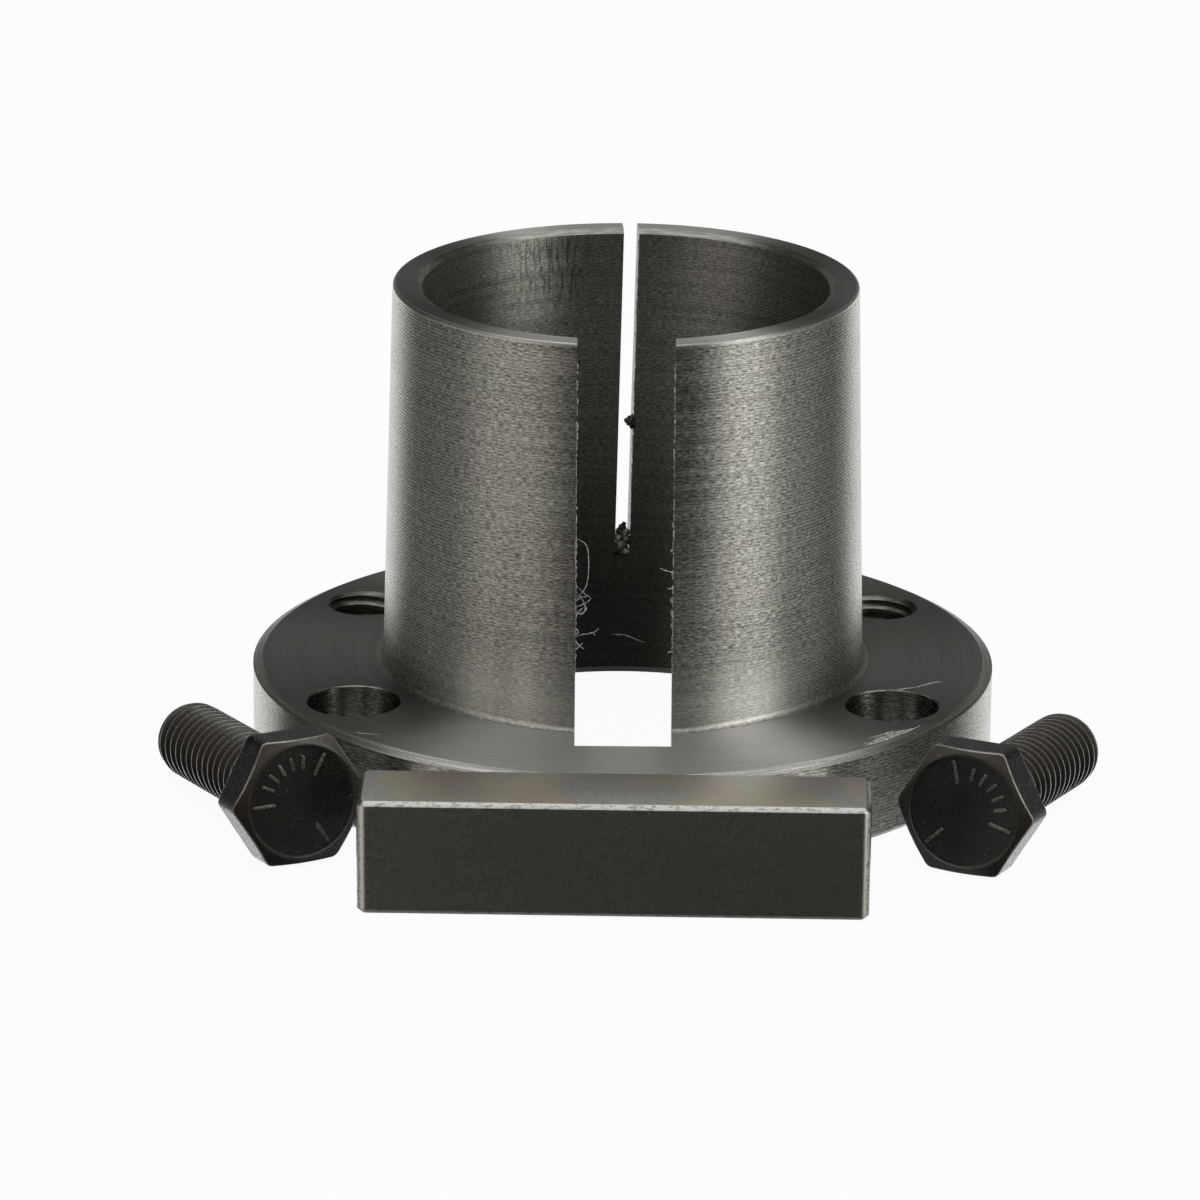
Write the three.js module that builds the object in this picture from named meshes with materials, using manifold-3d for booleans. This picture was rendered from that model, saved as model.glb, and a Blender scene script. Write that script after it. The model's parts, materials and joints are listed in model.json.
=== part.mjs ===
// Split-taper bushing set: a flanged, slit sleeve that clamps a shaft inside a tapered hub,
// its drive key, and the three cap screws that pull it home, laid out on a bench.
// Millimetres, +Z up. The origin is on the bore axis, at the flange's outer face, which rests on
// the bench. +Z runs along the bore to the sleeve's small end, and the keyway opens towards -Y.

import * as THREE from 'three';
import { mergeVertices } from 'three/addons/utils/BufferGeometryUtils.js';
import Module from 'manifold-3d';

const wasm = await Module();
wasm.setup();

const INCH = 25.4;
const DEGREE = Math.PI / 180;

// Bushing: flange and tapered sleeve
const OVERALL_LENGTH = ( 1 + 15 / 16 ) * INCH;
const FLANGE_RADIUS = 1.5 * INCH;
const FLANGE_THICKNESS = 3 / 8 * INCH;
const FLANGE_TOP_CHAMFER_WIDTH = 1.0;
const FLANGE_TOP_CHAMFER_HEIGHT = 0.5;
const FLANGE_BOTTOM_CHAMFER = 0.5;
const SLEEVE_FOOT_RADIUS = 24.7;
const SLEEVE_TIP_RADIUS = 23.65;
const SLEEVE_FOOT_FILLET = 0.3;
const SLEEVE_TIP_CHAMFER = 0.35;
const BORE_RADIUS = ( 1 + 5 / 8 ) * INCH / 2;
const BORE_TIP_CHAMFER_WIDTH = 0.76;
const BORE_TIP_CHAMFER_HEIGHT = 0.45;
const BORE_FACE_CHAMFER_WIDTH = 1.3;
const BORE_FACE_CHAMFER_HEIGHT = 1.0;

// Keyway and expansion slit, both open to the sleeve's small end
const KEYWAY_WIDTH = 9.65;
const KEYWAY_FLOOR_RADIUS = 28.5;
const SLIT_WIDTH = INCH / 16;
const SLIT_BOTTOM = 13.4;
const SLIT_TRUE_HEIGHT = 17.4;
const SLIT_LEAN = 1.1 * DEGREE;

// Flange holes, alternating every 60 degrees, with none at the keyway
const BOLT_CIRCLE_RADIUS = 31.3;
const PLAIN_HOLE_RADIUS = 4.7;
const PLAIN_HOLE_MOUTH_RADIUS = 4.9;
const PLAIN_HOLE_ANGLES = [ - 60, 60, 180 ];
const TAPPED_HOLE_RADIUS = 3.35;
const TAPPED_HOLE_MOUTH_RADIUS = 4.0;
const TAPPED_HOLE_ANGLES = [ - 120, 120 ];

// Key
const KEY_LENGTH = OVERALL_LENGTH;
const KEY_WIDTH = 3 / 8 * INCH;
const KEY_HEIGHT = 0.45 * INCH;
const KEY_END_ROUND = 1.0;
const KEY_EDGE_CHAMFER = 0.45;

// Cap screws: 5/16 in thread, 1 in long under the head and 1/2 in across the flats by name, with
// each size inside that standard's tolerance
const SCREW_LENGTH = 25.0;
const SCREW_RADIUS = 3.9;
const SCREW_TIP_CHAMFER = 0.8;
const HEAD_ACROSS_FLATS = 12.5;
const HEAD_HEIGHT = 4.9;
const WASHER_FACE_HEIGHT = 0.4;
const HEAD_FACE_RADIUS = 0.93 * HEAD_ACROSS_FLATS / 2;
const HEAD_CHAMFER_SLOPE = Math.tan( 30 * DEGREE );

// Bench layout: the key lies in front of the flange, and a screw lies on either side of it
const KEY_PLACE = { x: - 0.85, y: - 46, turn: - DEGREE };
const LYING_SCREWS = [
	{ name: 'cap_screw_left', x: - 33.2, y: - 33.3, heading: 26 * DEGREE },
	{ name: 'cap_screw_right', x: 34.9, y: - 34.7, heading: - 24.3 * DEGREE },
];
const STANDING_SCREW = { name: 'cap_screw_rear', x: 12, y: 44.2 };

const ROUND_SEGMENTS = 96;
const HOLE_SEGMENTS = 32;
const CUT_MARGIN = 1;

// Materials

const turnedSteel = metal( 0x56564f, 0.42, 0.9 );
const keySteel = metal( 0x4b4945, 0.5, 0.85 );
const blackOxide = metal( 0x1c1a1a, 0.35, 0.7 );

function metal( color, roughness, metalness ) {

	return new THREE.MeshStandardMaterial( { color, roughness, metalness } );

}

// Solids

function toSolid( geometry ) {

	geometry.deleteAttribute( 'normal' );
	geometry.deleteAttribute( 'uv' );
	const merged = mergeVertices( geometry );
	const vertProperties = new Float32Array( merged.attributes.position.array );
	const triVerts = new Uint32Array( merged.index.array );
	return new wasm.Manifold( new wasm.Mesh( { numProp: 3, vertProperties, triVerts } ) );

}

function toGeometry( solid ) {

	const mesh = solid.getMesh();
	const geometry = new THREE.BufferGeometry();
	geometry.setAttribute( 'position', new THREE.BufferAttribute( mesh.vertProperties, 3 ) );
	geometry.setIndex( new THREE.BufferAttribute( mesh.triVerts, 1 ) );
	geometry.computeVertexNormals();
	return geometry;

}

// Turns a profile of [ radius, height ] points about the Z axis.
function revolve( profile, segments ) {

	const points = profile.map( ( [ radius, height ] ) => new THREE.Vector2( radius, height ) );
	const geometry = new THREE.LatheGeometry( points, segments );
	geometry.rotateX( Math.PI / 2 );
	return toSolid( geometry );

}

function block( low, high ) {

	const box = new THREE.Box3( new THREE.Vector3( ...low ), new THREE.Vector3( ...high ) );
	const size = box.getSize( new THREE.Vector3() );
	const middle = box.getCenter( new THREE.Vector3() );
	const geometry = new THREE.BoxGeometry( size.x, size.y, size.z );
	geometry.translate( middle.x, middle.y, middle.z );
	return geometry;

}

// Bushing

function turnedBlank() {

	const flangeTop = FLANGE_THICKNESS;
	const top = OVERALL_LENGTH;
	const start = [ BORE_RADIUS + BORE_FACE_CHAMFER_WIDTH, 0 ];
	return revolve( [
		start,
		[ FLANGE_RADIUS - FLANGE_BOTTOM_CHAMFER, 0 ],
		[ FLANGE_RADIUS, FLANGE_BOTTOM_CHAMFER ],
		[ FLANGE_RADIUS, flangeTop - FLANGE_TOP_CHAMFER_HEIGHT ],
		[ FLANGE_RADIUS - FLANGE_TOP_CHAMFER_WIDTH, flangeTop ],
		[ SLEEVE_FOOT_RADIUS + SLEEVE_FOOT_FILLET, flangeTop ],
		[ SLEEVE_FOOT_RADIUS, flangeTop + SLEEVE_FOOT_FILLET ],
		[ SLEEVE_TIP_RADIUS, top - SLEEVE_TIP_CHAMFER ],
		[ SLEEVE_TIP_RADIUS - SLEEVE_TIP_CHAMFER, top ],
		[ BORE_RADIUS + BORE_TIP_CHAMFER_WIDTH, top ],
		[ BORE_RADIUS, top - BORE_TIP_CHAMFER_HEIGHT ],
		[ BORE_RADIUS, BORE_FACE_CHAMFER_HEIGHT ],
		start,
	], ROUND_SEGMENTS );

}

function keyway() {

	const half = KEYWAY_WIDTH / 2;
	return toSolid( block(
		[ - half, - KEYWAY_FLOOR_RADIUS, - CUT_MARGIN ],
		[ half, 0, OVERALL_LENGTH + CUT_MARGIN ],
	) );

}

// The slit leans a little sideways: it is on the bore's centre plane only at SLIT_TRUE_HEIGHT.
function slit() {

	const half = SLIT_WIDTH / 2;
	const geometry = block(
		[ - half, 0, SLIT_BOTTOM - SLIT_TRUE_HEIGHT ],
		[ half, FLANGE_RADIUS, OVERALL_LENGTH - SLIT_TRUE_HEIGHT + CUT_MARGIN ],
	);
	geometry.rotateY( SLIT_LEAN );
	geometry.translate( 0, 0, SLIT_TRUE_HEIGHT );
	return toSolid( geometry );

}

// A through hole in the flange, with both mouths chamfered at 45 degrees.
function flangeHole( angle, radius, mouthRadius ) {

	const chamfer = mouthRadius - radius;
	const hole = revolve( [
		[ 0, - CUT_MARGIN ],
		[ mouthRadius + CUT_MARGIN, - CUT_MARGIN ],
		[ radius, chamfer ],
		[ radius, FLANGE_THICKNESS - chamfer ],
		[ mouthRadius + CUT_MARGIN, FLANGE_THICKNESS + CUT_MARGIN ],
		[ 0, FLANGE_THICKNESS + CUT_MARGIN ],
	], HOLE_SEGMENTS );
	const x = BOLT_CIRCLE_RADIUS * Math.sin( angle * DEGREE );
	const y = - BOLT_CIRCLE_RADIUS * Math.cos( angle * DEGREE );
	return hole.translate( [ x, y, 0 ] );

}

function bushing() {

	let solid = turnedBlank().subtract( keyway() ).subtract( slit() );
	for ( const angle of PLAIN_HOLE_ANGLES ) {

		solid = solid.subtract( flangeHole( angle, PLAIN_HOLE_RADIUS, PLAIN_HOLE_MOUTH_RADIUS ) );

	}

	for ( const angle of TAPPED_HOLE_ANGLES ) {

		solid = solid.subtract( flangeHole( angle, TAPPED_HOLE_RADIUS, TAPPED_HOLE_MOUTH_RADIUS ) );

	}

	const mesh = new THREE.Mesh( toGeometry( solid ), turnedSteel );
	mesh.name = 'bushing';
	return mesh;

}

// Key: a bar with rounded ends in plan and chamfered long edges, lying on its side

function key() {

	const halfLength = KEY_LENGTH / 2 - KEY_EDGE_CHAMFER;
	const halfWidth = KEY_WIDTH / 2 - KEY_EDGE_CHAMFER;
	const round = KEY_END_ROUND - KEY_EDGE_CHAMFER;
	const outline = new THREE.Shape();
	outline.absarc( halfLength - round, halfWidth - round, round, 0, Math.PI / 2 );
	outline.absarc( round - halfLength, halfWidth - round, round, Math.PI / 2, Math.PI );
	outline.absarc( round - halfLength, round - halfWidth, round, Math.PI, 1.5 * Math.PI );
	outline.absarc( halfLength - round, round - halfWidth, round, 1.5 * Math.PI, 2 * Math.PI );
	const geometry = new THREE.ExtrudeGeometry( outline, {
		depth: KEY_HEIGHT - 2 * KEY_EDGE_CHAMFER,
		bevelSize: KEY_EDGE_CHAMFER,
		bevelThickness: KEY_EDGE_CHAMFER,
		bevelSegments: 1,
		curveSegments: 4,
	} );
	geometry.translate( 0, 0, KEY_EDGE_CHAMFER );
	const mesh = new THREE.Mesh( toGeometry( toSolid( geometry ) ), keySteel );
	mesh.name = 'key';
	mesh.position.set( KEY_PLACE.x, KEY_PLACE.y, 0 );
	mesh.rotation.z = KEY_PLACE.turn;
	return mesh;

}

// Cap screws

// The head's top face is at z = 0, with two corners on the X axis, and the tip is at
// z = HEAD_HEIGHT + SCREW_LENGTH. The threaded shank is plain, at the thread's outside diameter.
function screwGeometry() {

	const cornerRadius = HEAD_ACROSS_FLATS / Math.sqrt( 3 );
	const hexHeight = HEAD_HEIGHT - WASHER_FACE_HEIGHT;
	const tip = HEAD_HEIGHT + SCREW_LENGTH;

	const hex = new THREE.CylinderGeometry( cornerRadius, cornerRadius, hexHeight, 6 );
	hex.rotateY( Math.PI / 6 );
	hex.rotateX( Math.PI / 2 );
	hex.translate( 0, 0, hexHeight / 2 );

	const chamferHeight = ( cornerRadius - HEAD_FACE_RADIUS ) * HEAD_CHAMFER_SLOPE;
	const chamferCone = revolve( [
		[ 0, 0 ],
		[ HEAD_FACE_RADIUS, 0 ],
		[ cornerRadius, chamferHeight ],
		[ cornerRadius + CUT_MARGIN, chamferHeight ],
		[ cornerRadius + CUT_MARGIN, hexHeight + CUT_MARGIN ],
		[ 0, hexHeight + CUT_MARGIN ],
	], HOLE_SEGMENTS );

	const shank = revolve( [
		[ 0, hexHeight / 2 ],
		[ HEAD_FACE_RADIUS, hexHeight / 2 ],
		[ HEAD_FACE_RADIUS, HEAD_HEIGHT ],
		[ SCREW_RADIUS, HEAD_HEIGHT ],
		[ SCREW_RADIUS, tip - SCREW_TIP_CHAMFER ],
		[ SCREW_RADIUS - SCREW_TIP_CHAMFER, tip ],
		[ 0, tip ],
	], HOLE_SEGMENTS );

	return toGeometry( toSolid( hex ).intersect( chamferCone ).add( shank ) );

}

// A screw on its side rests on the lower edge of its head and on the last full turn of its thread,
// so its axis drops towards the tip. x and y are the middle of the head's underside.
function lyingScrew( { name, x, y, heading } ) {

	const apothem = HEAD_ACROSS_FLATS / 2;
	const hexHeight = HEAD_HEIGHT - WASHER_FACE_HEIGHT;
	const contactSpan = WASHER_FACE_HEIGHT + SCREW_LENGTH - SCREW_TIP_CHAMFER;
	const droop = Math.atan( ( apothem - SCREW_RADIUS ) / contactSpan );

	const mesh = new THREE.Mesh( screwGeometry(), blackOxide );
	mesh.name = name;
	mesh.rotation.x = - Math.PI / 2 - droop;
	mesh.position.y = - hexHeight * Math.cos( droop );
	mesh.position.z = apothem * Math.cos( droop ) + hexHeight * Math.sin( droop );

	const place = new THREE.Group();
	place.position.set( x, y, 0 );
	place.rotation.z = heading;
	place.add( mesh );
	return place;

}

function standingScrew( { name, x, y } ) {

	const mesh = new THREE.Mesh( screwGeometry(), blackOxide );
	mesh.name = name;
	mesh.position.set( x, y, 0 );
	return mesh;

}

const bushingSet = new THREE.Group();
bushingSet.add( bushing(), key(), standingScrew( STANDING_SCREW ) );
bushingSet.add( ...LYING_SCREWS.map( lyingScrew ) );

export default bushingSet;
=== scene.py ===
"""Split-taper bushing set: the finished look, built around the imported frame.

Shapes are made in millimetres and scaled to metres when each piece is placed. The bushing is a
turned blank with its keyway, slit and flange holes cut out of it; the key is a bevelled bar; each
cap screw is one grid of rows and columns that runs from the middle of its head to its tip.
"""

import json
import math
import random

import bmesh
import bpy
import numpy as np
from mathutils import Matrix, Vector, noise


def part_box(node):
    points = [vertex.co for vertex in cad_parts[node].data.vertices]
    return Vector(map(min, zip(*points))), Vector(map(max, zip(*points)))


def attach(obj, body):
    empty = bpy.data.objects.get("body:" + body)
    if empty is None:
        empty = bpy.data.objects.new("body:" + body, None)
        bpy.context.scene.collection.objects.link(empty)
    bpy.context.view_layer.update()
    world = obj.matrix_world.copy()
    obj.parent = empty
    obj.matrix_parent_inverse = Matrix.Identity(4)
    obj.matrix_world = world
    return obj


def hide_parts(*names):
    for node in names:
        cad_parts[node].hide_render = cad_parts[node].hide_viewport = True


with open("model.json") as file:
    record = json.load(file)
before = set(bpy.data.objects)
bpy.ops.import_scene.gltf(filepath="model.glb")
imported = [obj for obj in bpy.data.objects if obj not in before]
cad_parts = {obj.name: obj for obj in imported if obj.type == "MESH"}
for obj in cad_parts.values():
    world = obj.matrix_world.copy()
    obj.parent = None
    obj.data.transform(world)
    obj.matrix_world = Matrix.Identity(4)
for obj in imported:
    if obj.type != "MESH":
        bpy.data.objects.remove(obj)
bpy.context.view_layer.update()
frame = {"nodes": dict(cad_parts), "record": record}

MM = 0.001
TAU = 2 * math.pi

# Bushing, in millimetres. The overall sizes come from the frame. A chamfer is (width, height).
bushing_low, bushing_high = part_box("bushing")
mounts = {m["name"]: m["pos_m"] for m in frame["record"]["mounts"]}
LENGTH = bushing_high.z / MM
FLANGE_RADIUS = (bushing_high.x - bushing_low.x) / 2 / MM
FLANGE_TOP = mounts["flange_hub_face"][2] / MM
FLANGE_CHAMFER = (1.0, 0.5)
FLANGE_BOTTOM_CHAMFER = 0.5
SLEEVE_FOOT_RADIUS = 24.7
SLEEVE_TIP_RADIUS = 23.65
SLEEVE_FOOT_FILLET = 0.6
SLEEVE_TIP_CHAMFER = 0.35
BORE_RADIUS = 20.6375
BORE_TIP_CHAMFER = (0.76, 0.45)
BORE_FACE_CHAMFER = (1.3, 1.0)
KEYWAY_WIDTH = 9.65
KEYWAY_FLOOR_RADIUS = 28.5
SLIT_WIDTH = 1.5875
SLIT_BOTTOM = 13.4
SLIT_TRUE_HEIGHT = 17.4
SLIT_LEAN = math.radians(1.1)
SLIT_TURN = math.radians(4.5)
BOLT_CIRCLE_RADIUS = 31.3
PLAIN_HOLE_RADIUS = 4.7
PLAIN_HOLE_ANGLES = (-60, 60, 180)
TAPPED_HOLE_RADIUS = 3.35
TAPPED_MOUTH_RADIUS = 4.05
TAPPED_HOLE_ANGLES = (-120, 120)
EDGE_BREAK = 0.1
EDGE_BREAK_ANGLE = math.radians(62)

# Cap screws
THREAD_PITCH = 25.4 / 18
THREAD_RADIUS = 3.9
THREAD_DEPTH = 0.61 * THREAD_PITCH
THREAD_FLANK_BULGE = 0.12
THREAD_RUN_IN = 0.3
THREAD_RUN_OUT = 0.6
TAP_RADIUS = 3.97
HEAD_HEIGHT = 4.9
WASHER_HEIGHT = 0.4
HEX_HEIGHT = HEAD_HEIGHT - WASHER_HEIGHT
HEAD_FACE_SHARE = 0.93
HEAD_FACE_DEPTH = 0.2
HEAD_LIP_WIDTH = 0.4
HEAD_LIP_ROUND = 0.12
HEAD_CHAMFER_SLOPE = math.tan(math.radians(30))
HEAD_CORNER_SHARE = 0.985
HEAD_EDGE_ROUND = 0.1
TIP_LENGTH = 2.4
TIP_DEPTH = 1.4

# Raised marks on the heads: (distance of the middle from the axis, half length, half width)
MARK_HEIGHT = 0.19
HEAD_BAR = (4.0, 1.25, 0.22)
HEAD_PIP = (3.9, 0.75, 0.24)
PIP_STEP = 17

# How far the black is rubbed off a screw, from 0 to 1
EDGE_WEAR = 1.0
MARK_WEAR = 0.75
CHAMFER_WEAR = 0.45
LIP_WEAR = 0.4
THREAD_WEAR = 0.25

# Key
KEY_END_ROUND = 1.0
KEY_EDGE_CHAMFER = 0.45
KEY_CORNER_ROUND = 0.05

ROUND_SEGMENTS = 384
HOLE_SEGMENTS = 96
TAP_SEGMENTS = 72
SCREW_SEGMENTS = 120
WIRE_STEPS = 4
WIRE_SIDES = 6
CUT_MARGIN = 1.0

# Material slots of the bushing
TURNED, RIM, FACED, BORE_EDGE, BORED, DRILLED, THREADED, MILLED = range(8)


# Mesh building

def new_object(name, bm):
    """A scene object from a bmesh, with outward normals."""
    bmesh.ops.recalc_face_normals(bm, faces=bm.faces)
    mesh = bpy.data.meshes.new(name)
    bm.to_mesh(mesh)
    bm.free()
    obj = bpy.data.objects.new(name, mesh)
    bpy.context.scene.collection.objects.link(obj)
    return obj


def add_grid(bm, rows, slots=None, ring_rows=False):
    """Rows of points that go once round, joined by quads. A row of one point is a pole.

    slots gives each band of faces its material slot. With ring_rows the last row joins the first.
    """
    made = [[bm.verts.new(p) for p in row] for row in rows]
    bands = list(zip(made, made[1:]))
    if ring_rows:
        bands.append((made[-1], made[0]))
    for band, (a, b) in enumerate(bands):
        count = max(len(a), len(b))
        for i in range(count):
            j = (i + 1) % count
            corners = [a[i % len(a)], a[j % len(a)], b[j % len(b)], b[i % len(b)]]
            face = bm.faces.new(list(dict.fromkeys(corners)))
            face.material_index = slots[band] if slots else 0


def revolved(name, profile, slots, segments, ring_rows=True):
    """Turns (radius, height) points about Z, with a material slot for each step of the profile."""
    angles = [TAU * i / segments for i in range(segments)]
    rows = []
    for radius, height in profile:
        if radius == 0:
            rows.append([(0, 0, height)])
        else:
            rows.append([(radius * math.cos(a), radius * math.sin(a), height) for a in angles])
    bm = bmesh.new()
    add_grid(bm, rows, slots, ring_rows)
    return new_object(name, bm)


def paint(obj, slot):
    """Gives every face the same material slot."""
    for face in obj.data.polygons:
        face.material_index = slot


def block(name, low, high, slot):
    """A box between two corners."""
    bm = bmesh.new()
    bmesh.ops.create_cube(bm, size=1)
    middle = [(a + b) / 2 for a, b in zip(low, high)]
    size = [b - a for a, b in zip(low, high)]
    matrix = Matrix.Translation(middle) @ Matrix.Diagonal((*size, 1))
    bmesh.ops.transform(bm, matrix=matrix, verts=bm.verts)
    obj = new_object(name, bm)
    paint(obj, slot)
    return obj


def bake_modifiers(obj):
    """Replaces the mesh by what its modifiers make of it."""
    depsgraph = bpy.context.evaluated_depsgraph_get()
    obj.data = bpy.data.meshes.new_from_object(obj.evaluated_get(depsgraph))
    obj.modifiers.clear()


def combine(base, others, operation, materials):
    """Cuts other objects from base, or joins them to it, and removes them from the scene.

    All of them get the same list of materials, so each face keeps the slot it was made with.
    """
    for obj in [base, *others]:
        for material in materials:
            obj.data.materials.append(material)
    for other in others:
        step = base.modifiers.new("step", "BOOLEAN")
        step.operation = operation
        step.solver = "EXACT"
        step.object = other
    bake_modifiers(base)
    for other in others:
        bpy.data.objects.remove(other)


def smooth_by_angle(mesh, degrees):
    """Smooth shading, but sharp where faces turn by more than an angle."""
    mesh.shade_smooth()
    mesh.set_sharp_from_angle(angle=math.radians(degrees))


def place(obj, body, matrix=Matrix.Identity(4)):
    """Scales a piece from millimetres, moves it to its place and makes it ride on its body."""
    obj.data.transform(matrix @ Matrix.Scale(MM, 4))
    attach(obj, body)


# Threads

def thread_wave(phase):
    """0 at a 60 degree thread's crest flat, 1 at its root flat, for a phase in turns."""
    away = abs((phase + 0.5) % 1 - 0.5)
    crest, root = 1 / 16, 3 / 8
    share = min(max((away - crest) / (root - crest), 0), 1)
    return share * (1 - THREAD_FLANK_BULGE * (1 - share))


def thread_radius(angle, height, crest_radius, depth):
    """Radius of a right-hand thread's surface at an angle and a height."""
    return crest_radius - depth * thread_wave(height / THREAD_PITCH - angle / TAU)


def thread_rows(angles, start, end, radius_at):
    """Rows that follow the helix from start to end, with their points held between the two."""
    steps = (-0.4, -0.3, -0.2, -0.1, -1 / 16, 0, 1 / 16, 0.1, 0.2, 0.3, 0.4, 0.5)
    first = math.floor(start / THREAD_PITCH) - 1
    last = math.ceil(end / THREAD_PITCH) + 1
    rows = []
    for turn in range(first, last):
        for step in steps:
            row = []
            for angle in angles:
                height = THREAD_PITCH * (turn + step + angle / TAU)
                height = min(max(height, start), end)
                radius = radius_at(angle, height)
                row.append((radius * math.cos(angle), radius * math.sin(angle), height))
            rows.append(row)
    return rows


def helical_bmesh(rows):
    """Rows whose first and last columns lie at the same angle, one helix pitch apart or equal.

    Merging close points then closes the seam, and removes what the held points flattened.
    """
    bm = bmesh.new()
    made = [[bm.verts.new(p) for p in row] for row in rows]
    for a, b in zip(made, made[1:]):
        for i in range(max(len(a), len(b)) - 1):
            corners = [a[min(i, len(a) - 1)], a[min(i + 1, len(a) - 1)],
                       b[min(i + 1, len(b) - 1)], b[min(i, len(b) - 1)]]
            bm.faces.new(list(dict.fromkeys(corners)))
    bmesh.ops.remove_doubles(bm, verts=bm.verts, dist=1e-4)
    bmesh.ops.dissolve_degenerate(bm, edges=bm.edges, dist=1e-5)
    return bm


def thread_cutter(name, centre):
    """The shape of a tapped hole's inside: a thread that runs past both faces of the flange."""
    angles = [TAU * i / TAP_SEGMENTS for i in range(TAP_SEGMENTS + 1)]
    low, high = -CUT_MARGIN, FLANGE_TOP + CUT_MARGIN
    depth = TAP_RADIUS - TAPPED_HOLE_RADIUS
    rows = thread_rows(angles, low, high, lambda a, h: thread_radius(a, h, TAP_RADIUS, depth))
    cutter = new_object(name, helical_bmesh([[(0, 0, low)]] + rows + [[(0, 0, high)]]))
    cutter.data.transform(Matrix.Translation((*centre, 0)))
    paint(cutter, THREADED)
    return cutter


# Bushing

def sleeve_radius(height):
    """The tapered sleeve's outer radius at a height."""
    share = (height - FLANGE_TOP) / (LENGTH - FLANGE_TOP)
    return SLEEVE_FOOT_RADIUS + (SLEEVE_TIP_RADIUS - SLEEVE_FOOT_RADIUS) * share


def arc(centre, radius, start, end, steps):
    """Points on an arc of the profile, in degrees."""
    points = []
    for i in range(steps + 1):
        a = math.radians(start + (end - start) * i / steps)
        points.append((centre[0] + radius * math.cos(a), centre[1] + radius * math.sin(a)))
    return points


def turned_blank():
    """The bushing before its holes and slots: each profile point with the slot of the next step."""
    wide, high = FLANGE_CHAMFER
    bore_wide, bore_high = BORE_TIP_CHAMFER
    face_wide, face_high = BORE_FACE_CHAMFER
    fillet = SLEEVE_FOOT_FILLET
    tip = SLEEVE_TIP_CHAMFER
    foot = arc((SLEEVE_FOOT_RADIUS + fillet, FLANGE_TOP + fillet), fillet, 270, 180, 6)
    edge = arc((SLEEVE_TIP_RADIUS - tip, LENGTH - tip), tip, 0, 90, 4)
    points = [
        ((BORE_RADIUS + face_wide, 0), FACED),
        ((FLANGE_RADIUS - FLANGE_BOTTOM_CHAMFER, 0), RIM),
        ((FLANGE_RADIUS, FLANGE_BOTTOM_CHAMFER), TURNED),
        ((FLANGE_RADIUS, FLANGE_TOP - high), RIM),
        ((FLANGE_RADIUS - wide, FLANGE_TOP), FACED),
        *[(point, TURNED) for point in foot],
        *[(point, RIM) for point in edge[:-1]],
        (edge[-1], FACED),
        ((BORE_RADIUS + bore_wide, LENGTH), BORE_EDGE),
        ((BORE_RADIUS, LENGTH - bore_high), BORED),
        ((BORE_RADIUS, face_high), BORED),
    ]
    profile, slots = zip(*points)
    return revolved("turned_bushing", profile, slots, ROUND_SEGMENTS)


def hole_centre(angle):
    """The centre of a flange hole, for an angle in degrees from the keyway."""
    a = math.radians(angle)
    return BOLT_CIRCLE_RADIUS * math.sin(a), -BOLT_CIRCLE_RADIUS * math.cos(a)


def hole_cutter(name, angle, radius, mouth, slot):
    """A drill with both mouths countersunk at 45 degrees."""
    chamfer = mouth - radius
    cutter = revolved(name, [
        (0, -CUT_MARGIN),
        (mouth + CUT_MARGIN, -CUT_MARGIN),
        (radius, chamfer),
        (radius, FLANGE_TOP - chamfer),
        (mouth + CUT_MARGIN, FLANGE_TOP + CUT_MARGIN),
        (0, FLANGE_TOP + CUT_MARGIN),
    ], (slot,) * 5, HOLE_SEGMENTS, ring_rows=False)
    cutter.data.transform(Matrix.Translation((*hole_centre(angle), 0)))
    return cutter


def keyway_cutter():
    """A block that opens the sleeve's wall and notches the flange, all the way up."""
    half = KEYWAY_WIDTH / 2
    low = (-half, -KEYWAY_FLOOR_RADIUS, -CUT_MARGIN)
    return block("keyway", low, (half, 0, LENGTH + CUT_MARGIN), MILLED)


def slit_cutter():
    """A saw cut that leans a little sideways and turns a little as it goes out through the wall."""
    half = SLIT_WIDTH / 2
    low = (-half, -BORE_RADIUS, SLIT_BOTTOM - SLIT_TRUE_HEIGHT)
    high = (half, FLANGE_RADIUS - BORE_RADIUS, LENGTH + CUT_MARGIN - SLIT_TRUE_HEIGHT)
    slit = block("slit", low, high, MILLED)
    turn = Matrix.Rotation(SLIT_TURN, 4, "Z")
    lean = Matrix.Rotation(SLIT_LEAN, 4, "Y")
    slit.data.transform(Matrix.Translation((0, BORE_RADIUS, SLIT_TRUE_HEIGHT)) @ lean @ turn)
    return slit


def flange_cutters():
    """A drill for each plain hole, and a drill and a thread for each tapped one."""
    plain, plain_mouth = PLAIN_HOLE_RADIUS, PLAIN_HOLE_RADIUS + EDGE_BREAK
    tapped, tapped_mouth = TAPPED_HOLE_RADIUS, TAPPED_MOUTH_RADIUS
    cutters = []
    for angle in PLAIN_HOLE_ANGLES:
        cutters.append(hole_cutter("drill", angle, plain, plain_mouth, DRILLED))
    for angle in TAPPED_HOLE_ANGLES:
        cutters.append(hole_cutter("tap_drill", angle, tapped, tapped_mouth, THREADED))
        cutters.append(thread_cutter("tap", hole_centre(angle)))
    return cutters


def make_bushing(materials):
    """The turned blank with its slots and holes cut out and its new edges broken."""
    bushing = turned_blank()
    cutters = [keyway_cutter(), slit_cutter(), *flange_cutters()]
    combine(bushing, cutters, "DIFFERENCE", materials)
    edge = bushing.modifiers.new("edge", "BEVEL")
    edge.width = EDGE_BREAK
    edge.segments = 2
    edge.limit_method = "ANGLE"
    edge.angle_limit = EDGE_BREAK_ANGLE
    bake_modifiers(bushing)
    smooth_by_angle(bushing.data, 20)
    place(bushing, "bushing")
    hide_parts("bushing")


# Swarf and burrs left by the cutters

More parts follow.
